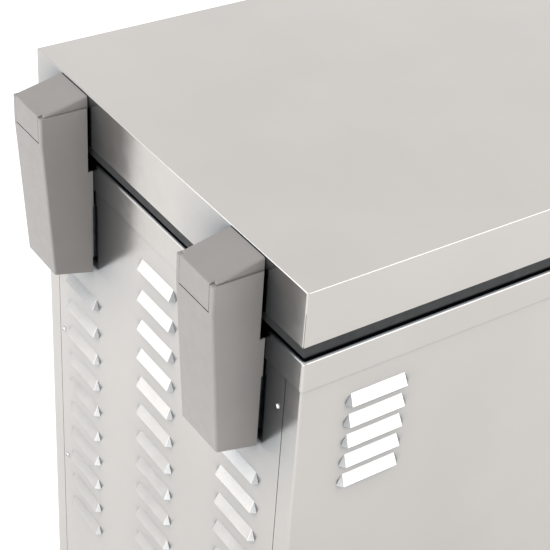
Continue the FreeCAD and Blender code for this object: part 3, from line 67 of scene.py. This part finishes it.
# Softboxes: one behind the box, one on its photographed side and a low one off its rear left corner.
SOFTBOXES = {
    "rear_box": {
        "place": (0.80, 2.67, 1.25), "target": (0.0, 0.32, 1.25), "size": (2.62, 1.96), "radiance": 2.1},
    "side_box": {
        "place": (-2.9, -1.6, 1.02), "target": (-0.3, 0.0, 0.7), "size": (1.7, 0.85), "radiance": 3.5},
    "low_box": {
        "place": (-0.95, 1.72, 0.30), "target": (0.0, 0.32, 0.45), "size": (1.3, 0.5), "radiance": 2.4},
}

# The ranges of a noise texture's values over which colour and gloss change.
MOTTLE_RANGE = (0.35, 0.65)
GLOSS_RANGE = (0.3, 0.7)
ALL_WAYS = (1, 1, 1)
WHITE = (1, 1, 1)

# Painted corner shade and painted dark reflections in the colour, as (openness, tint) stops. It works fully
# above the upper height, and below the lower one only at its least strength, because the floor is no corner
# of the box.
SHEET_SHADE = [(0.50, (0.05, 0.065, 0.085)), (0.80, (0.48, 0.53, 0.58)), (0.955, WHITE)]
SCREW_SHADE = [(0.40, (0.05, 0.05, 0.06)), (0.80, (0.45, 0.46, 0.48)), (1.0, WHITE)]
SHADE_RAYS = 8
SHADE_HEIGHTS = (0.04, 0.14)
SHADE_LEAST = 0.25

# Pieces whose edges are rolled over: (CAD piece, the body it rides on, the width of its edges).
SOFTENED = [
    ("hinge_cap_left", "lid", 0.0009),
    ("hinge_cover_left", "body", 0.0007),
    ("busbar_insulator_negative", "body", 0.0012),
    ("hinge_cap_right", "lid", 0.0009),
    ("hinge_cover_right", "body", 0.0007),
    ("busbar_insulator_positive", "body", 0.0012),
    ("lid_handle", "lid", 0.0012),
]
EDGE_SEGMENTS = 3
EDGE_ANGLE = math.radians(28.0)
FLAT_ANGLE = math.radians(0.5)
WELD_DISTANCE = 1e-6


def set_stops(ramp, stops):
    """Gives a new colour ramp node these (place, colour) stops, which rise."""
    elements = ramp.color_ramp.elements
    while len(elements) < len(stops):
        elements.new(0.5)
    for element, (place, colour) in zip(elements, stops):
        element.position = place
        element.color = (*colour, 1)


# ---------------------------------------------------------------- materials
class Finish:
    """A Principled material that its steps make less even: mottled colour, uneven gloss and fine relief."""

    def __init__(self, name, colour, roughness, metallic=0.0, specular=0.5):
        self.name = name
        self.material = bpy.data.materials.new(name)
        self.material.use_nodes = True
        self.tree = self.material.node_tree
        self.shader = self.tree.nodes["Principled BSDF"]
        self.shader.inputs["Base Color"].default_value = (*colour, 1)
        self.shader.inputs["Roughness"].default_value = roughness
        self.shader.inputs["Metallic"].default_value = metallic
        self.shader.inputs["Specular IOR Level"].default_value = specular

    def link(self, source, target):
        self.tree.links.new(source, target)

    def pattern(self, kind, scale, stretch=ALL_WAYS, detail=3.0):
        """A grey texture fixed to the object; scale is in features a metre."""
        coordinates = self.tree.nodes.new("ShaderNodeTexCoord")
        mapping = self.tree.nodes.new("ShaderNodeMapping")
        mapping.inputs["Scale"].default_value = stretch
        texture = self.tree.nodes.new("ShaderNodeTex" + kind)
        texture.inputs["Scale"].default_value = scale
        if kind == "Noise":
            texture.inputs["Detail"].default_value = detail
        self.link(coordinates.outputs["Object"], mapping.inputs["Vector"])
        self.link(mapping.outputs["Vector"], texture.inputs["Vector"])
        return texture.outputs["Distance" if kind == "Voronoi" else 0]

    def mottle(self, pattern, colours, places=MOTTLE_RANGE):
        """Lets the colour wander between two with the pattern."""
        ramp = self.tree.nodes.new("ShaderNodeValToRGB")
        set_stops(ramp, list(zip(places, colours)))
        self.link(pattern, ramp.inputs[0])
        self.link(ramp.outputs[0], self.shader.inputs["Base Color"])
        return self

    def shade(self, reach, stops):
        """Darkens the colour in corners and narrow gaps with painted shade and a painted dark reflection,
        standing in for part of the steel's reflections.
        """
        corner = self.tree.nodes.new("ShaderNodeAmbientOcclusion")
        corner.samples = SHADE_RAYS
        corner.inputs["Distance"].default_value = reach
        ramp = self.tree.nodes.new("ShaderNodeValToRGB")
        set_stops(ramp, stops)
        blend = self.tree.nodes.new("ShaderNodeMix")
        blend.data_type = "RGBA"
        blend.blend_type = "MULTIPLY"
        coordinates = self.tree.nodes.new("ShaderNodeTexCoord")
        split = self.tree.nodes.new("ShaderNodeSeparateXYZ")
        above_floor = self.tree.nodes.new("ShaderNodeMapRange")
        above_floor.inputs["From Min"].default_value = SHADE_HEIGHTS[0]
        above_floor.inputs["From Max"].default_value = SHADE_HEIGHTS[1]
        above_floor.inputs["To Min"].default_value = SHADE_LEAST
        self.link(coordinates.outputs["Object"], split.inputs[0])
        self.link(split.outputs["Z"], above_floor.inputs["Value"])
        self.link(above_floor.outputs[0], blend.inputs["Factor"])
        self.link(corner.outputs["AO"], ramp.inputs[0])
        self.link(self.shader.inputs["Base Color"].links[0].from_socket, blend.inputs["A"])
        self.link(ramp.outputs[0], blend.inputs["B"])
        self.link(blend.outputs["Result"], self.shader.inputs["Base Color"])
        return self

    def gloss(self, pattern, smooth, rough):
        """Lets the roughness wander between smooth and rough with the pattern."""
        spread = self.tree.nodes.new("ShaderNodeMapRange")
        spread.inputs["From Min"].default_value = GLOSS_RANGE[0]
        spread.inputs["From Max"].default_value = GLOSS_RANGE[1]
        spread.inputs["To Min"].default_value = smooth
        spread.inputs["To Max"].default_value = rough
        self.link(pattern, spread.inputs["Value"])
        self.link(spread.outputs[0], self.shader.inputs["Roughness"])
        return self

    def relief(self, pattern, depth):
        """Raises and sinks the surface by up to depth with the pattern."""
        bump = self.tree.nodes.new("ShaderNodeBump")
        bump.inputs["Distance"].default_value = depth
        self.link(pattern, bump.inputs["Height"])
        self.link(bump.outputs["Normal"], self.shader.inputs["Normal"])
        return self


def stainless(name, colour, smooth, rough, brush):
    """Rolled stainless sheet: faint clouds, a little uneven in gloss, with very fine rolling lines."""
    finish = Finish(name, colour, rough, metallic=1.0)
    darker = tuple(0.96 * c for c in colour)
    finish.mottle(finish.pattern("Noise", scale=7.0, detail=4.0), (darker, colour))
    finish.gloss(finish.pattern("Noise", scale=60.0, stretch=brush, detail=5.0), smooth, rough)
    finish.relief(finish.pattern("Noise", scale=700.0, stretch=brush, detail=2.0), depth=0.000012)
    return finish


def moulded(name, colour, smooth, rough, grain=2200.0, depth=0.00004, specular=0.5):
    """Injection moulded plastic with a fine spark-eroded grain."""
    finish = Finish(name, colour, rough, specular=specular)
    lighter = tuple(min(1.0, 1.07 * c) for c in colour)
    finish.mottle(finish.pattern("Noise", scale=14.0, detail=4.0), (colour, lighter))
    finish.gloss(finish.pattern("Noise", scale=90.0), smooth, rough)
    finish.relief(finish.pattern("Noise", scale=grain, detail=1.0), depth)
    return finish


def rubber(name, colour, depth):
    """Moulded rubber, duller than plastic and with a coarser grain."""
    return moulded(name, colour, smooth=0.5, rough=0.68, grain=900.0, depth=depth, specular=0.3)


def plated(name, dark, light, smooth, rough, spangle):
    """Plated or bare steel with small patches that differ in tone and gloss."""
    finish = Finish(name, light, rough, metallic=1.0)
    finish.mottle(finish.pattern("Voronoi", scale=spangle), (dark, light), places=(0.1, 0.8))
    finish.gloss(finish.pattern("Noise", scale=3 * spangle), smooth, rough)
    finish.relief(finish.pattern("Noise", scale=900.0), depth=0.00002)
    return finish


def brushed(name, dark, light, smooth, rough, stretch):
    """Drawn or rolled metal with lines along it, in the direction where stretch is smallest."""
    finish = Finish(name, light, rough, metallic=1.0)
    lines = finish.pattern("Noise", scale=40.0, stretch=stretch, detail=6.0)
    finish.mottle(lines, (dark, light))
    finish.gloss(lines, smooth, rough)
    finish.relief(finish.pattern("Noise", scale=300.0, stretch=stretch, detail=2.0), depth=0.00002)
    return finish


def foam(name):
    """Polyurethane foam with its cells cut open."""
    finish = Finish(name, (0.72, 0.62, 0.34), roughness=0.95, specular=0.2)
    cells = finish.pattern("Voronoi", scale=650.0)
    finish.mottle(cells, ((0.45, 0.36, 0.17), (0.76, 0.66, 0.38)), places=(0.0, 0.45))
    finish.relief(cells, depth=0.0008)
    return finish


def circuit_board(name):
    """Solder mask over branching copper tracks."""
    finish = Finish(name, (0.01, 0.12, 0.045), roughness=0.35)
    tracks = finish.pattern("Voronoi", scale=180.0, stretch=(1.0, 0.02, 3.0))
    finish.mottle(tracks, ((0.05, 0.26, 0.10), (0.01, 0.11, 0.04)), places=(0.12, 0.2))
    finish.relief(tracks, depth=0.00006)
    return finish


FINISHES = [
    # The sheet's colour carries painted shade and painted dark reflections beside corners and gaps.
    stainless("stainless_sheet", (0.459, 0.441, 0.422), smooth=0.19, rough=0.25, brush=ALL_WAYS)
    .shade(reach=0.1, stops=SHEET_SHADE),
    stainless("stainless_tub", (0.78, 0.78, 0.775), smooth=0.30, rough=0.40, brush=(1, 1, 0.1)),
    plated("zinc_steel", (0.42, 0.43, 0.45), (0.56, 0.57, 0.58), smooth=0.28, rough=0.46, spangle=110.0),
    # The screws' colour carries painted shade in their recesses and round their heads.
    plated("screw_steel", (0.48, 0.48, 0.49), (0.60, 0.60, 0.61), smooth=0.10, rough=0.20, spangle=600.0)
    .shade(reach=0.004, stops=SCREW_SHADE),
    plated("spring_steel", (0.20, 0.20, 0.21), (0.36, 0.36, 0.37), smooth=0.26, rough=0.40, spangle=260.0),
    moulded("cover_plastic", (0.196, 0.185, 0.177), smooth=0.42, rough=0.50),
    moulded("liner_plastic", (0.56, 0.56, 0.55), smooth=0.28, rough=0.40, grain=500.0, depth=0.00006),
    moulded("retainer_plastic", (0.07, 0.07, 0.07), smooth=0.45, rough=0.58),
    rubber("seal_rubber", (0.016, 0.017, 0.018), depth=0.00008),
    rubber("foot_rubber", (0.018, 0.018, 0.018), depth=0.00015),
    foam("foam"),
    moulded("black_plastic", (0.018, 0.018, 0.019), smooth=0.38, rough=0.52),
    moulded("box_plastic", (0.46, 0.47, 0.48), smooth=0.40, rough=0.52),
    circuit_board("circuit_board"),
    brushed("brass_bar", (0.66, 0.47, 0.20), (0.80, 0.60, 0.29), smooth=0.22, rough=0.36,
            stretch=(0.05, 4, 4)),
    brushed("copper_tube", (0.50, 0.24, 0.14), (0.80, 0.44, 0.30), smooth=0.22, rough=0.42,
            stretch=(0.4, 1, 1)),
    brushed("fin_aluminium", (0.66, 0.67, 0.68), (0.82, 0.83, 0.84), smooth=0.28, rough=0.42,
            stretch=(1, 0.1, 1)),
    moulded("black_paint", (0.014, 0.014, 0.015), smooth=0.16, rough=0.26, grain=350.0, depth=0.00012),
]
MATERIALS = {finish.name: finish.material for finish in FINISHES}


def dress_nodes():
    """Gives every CAD node the material of its slot."""
    for name, node in frame["nodes"].items():
        for place in node.material_slots:
            place.material = MATERIALS[SLOTS[name]]


# ---------------------------------------------------------------- camera, floor and light
def add_camera():
    """The view from above the left rear corner, with the lid's rear left corner near the middle."""
    data = bpy.data.cameras.new("camera")
    data.sensor_width = CAMERA_SENSOR_MM
    data.lens = CAMERA_LENS_MM
    data.clip_end = CAMERA_REACH
    camera = bpy.data.objects.new("camera", data)
    camera.location = Vector((LID_LOW.x, LID_HIGH.y, LID_HIGH.z)) + CAMERA_FROM_CORNER
    camera.rotation_euler = Euler([math.radians(a) for a in CAMERA_TURN_DEGREES])
    scene.collection.objects.link(camera)
    scene.camera = camera


def add_world():
    """A grey sky whose brightness changes only with height."""
    world = bpy.data.worlds.new("studio")
    world.use_nodes = True
    tree = world.node_tree
    background = tree.nodes["Background"]
    coordinates = tree.nodes.new("ShaderNodeTexCoord")
    split = tree.nodes.new("ShaderNodeSeparateXYZ")
    ramp = tree.nodes.new("ShaderNodeValToRGB")
    height = tree.nodes.new("ShaderNodeMapRange")
    height.inputs["From Min"].default_value = -1.0
    height.inputs["From Max"].default_value = 1.0
    tree.links.new(coordinates.outputs["Generated"], split.inputs[0])
    tree.links.new(split.outputs["Z"], height.inputs["Value"])
    tree.links.new(height.outputs[0], ramp.inputs[0])
    tree.links.new(ramp.outputs[0], background.inputs["Color"])
    set_stops(ramp, [(place, (level, level, level)) for place, level in STUDIO_LEVELS])
    background.inputs["Strength"].default_value = STUDIO_STRENGTH
    scene.world = world


def add_floor():
    """A wide pale floor for the box to stand on."""
    mesh = bpy.data.meshes.new("floor")
    corners = [(x * FLOOR_HALF, y * FLOOR_HALF, 0) for x, y in ((-1, -1), (1, -1), (1, 1), (-1, 1))]
    mesh.from_pydata(corners, [], [(0, 1, 2, 3)])
    floor = bpy.data.objects.new("floor", mesh)
    scene.collection.objects.link(floor)
    mesh.materials.append(Finish("floor", FLOOR_GREY, FLOOR_ROUGHNESS).material)


def add_softbox(name, place, target, size, radiance):
    """An area light of the given brightness, which the steel mirrors and the camera doesn't see."""
    data = bpy.data.lights.new(name, "AREA")
    data.shape = "RECTANGLE"
    data.size, data.size_y = size
    data.energy = radiance * math.pi * size[0] * size[1]
    light = bpy.data.objects.new(name, data)
    light.location = place
    light.rotation_euler = (Vector(target) - Vector(place)).to_track_quat("-Z", "Y").to_euler()
    light.visible_camera = False
    scene.collection.objects.link(light)


# ---------------------------------------------------------------- softened pieces
def soften(name, body, width):
    """Replaces a CAD piece with a copy of it whose sharp edges are rolled over."""
    node = frame["nodes"][name]
    mesh = node.data.copy()
    work = bmesh.new()
    work.from_mesh(mesh)
    bmesh.ops.remove_doubles(work, verts=work.verts, dist=WELD_DISTANCE)
    bmesh.ops.dissolve_limit(work, angle_limit=FLAT_ANGLE, verts=work.verts, edges=work.edges)
    work.to_mesh(mesh)
    work.free()
    piece = bpy.data.objects.new("soft_" + name, mesh)
    scene.collection.objects.link(piece)
    bevel = piece.modifiers.new("edges", "BEVEL")
    bevel.width = width
    bevel.segments = EDGE_SEGMENTS
    bevel.limit_method = "ANGLE"
    bevel.angle_limit = EDGE_ANGLE
    bevel.use_clamp_overlap = True
    bevel.harden_normals = True
    mesh.materials.clear()
    mesh.materials.append(MATERIALS[SLOTS[name]])
    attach(piece, body)
    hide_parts(name)


scene.view_settings.view_transform = "Standard"
add_camera()
add_world()
add_floor()
for box_name, box in SOFTBOXES.items():
    add_softbox(box_name, **box)
dress_nodes()
for piece_name, body, edge_width in SOFTENED:
    soften(piece_name, body, edge_width)
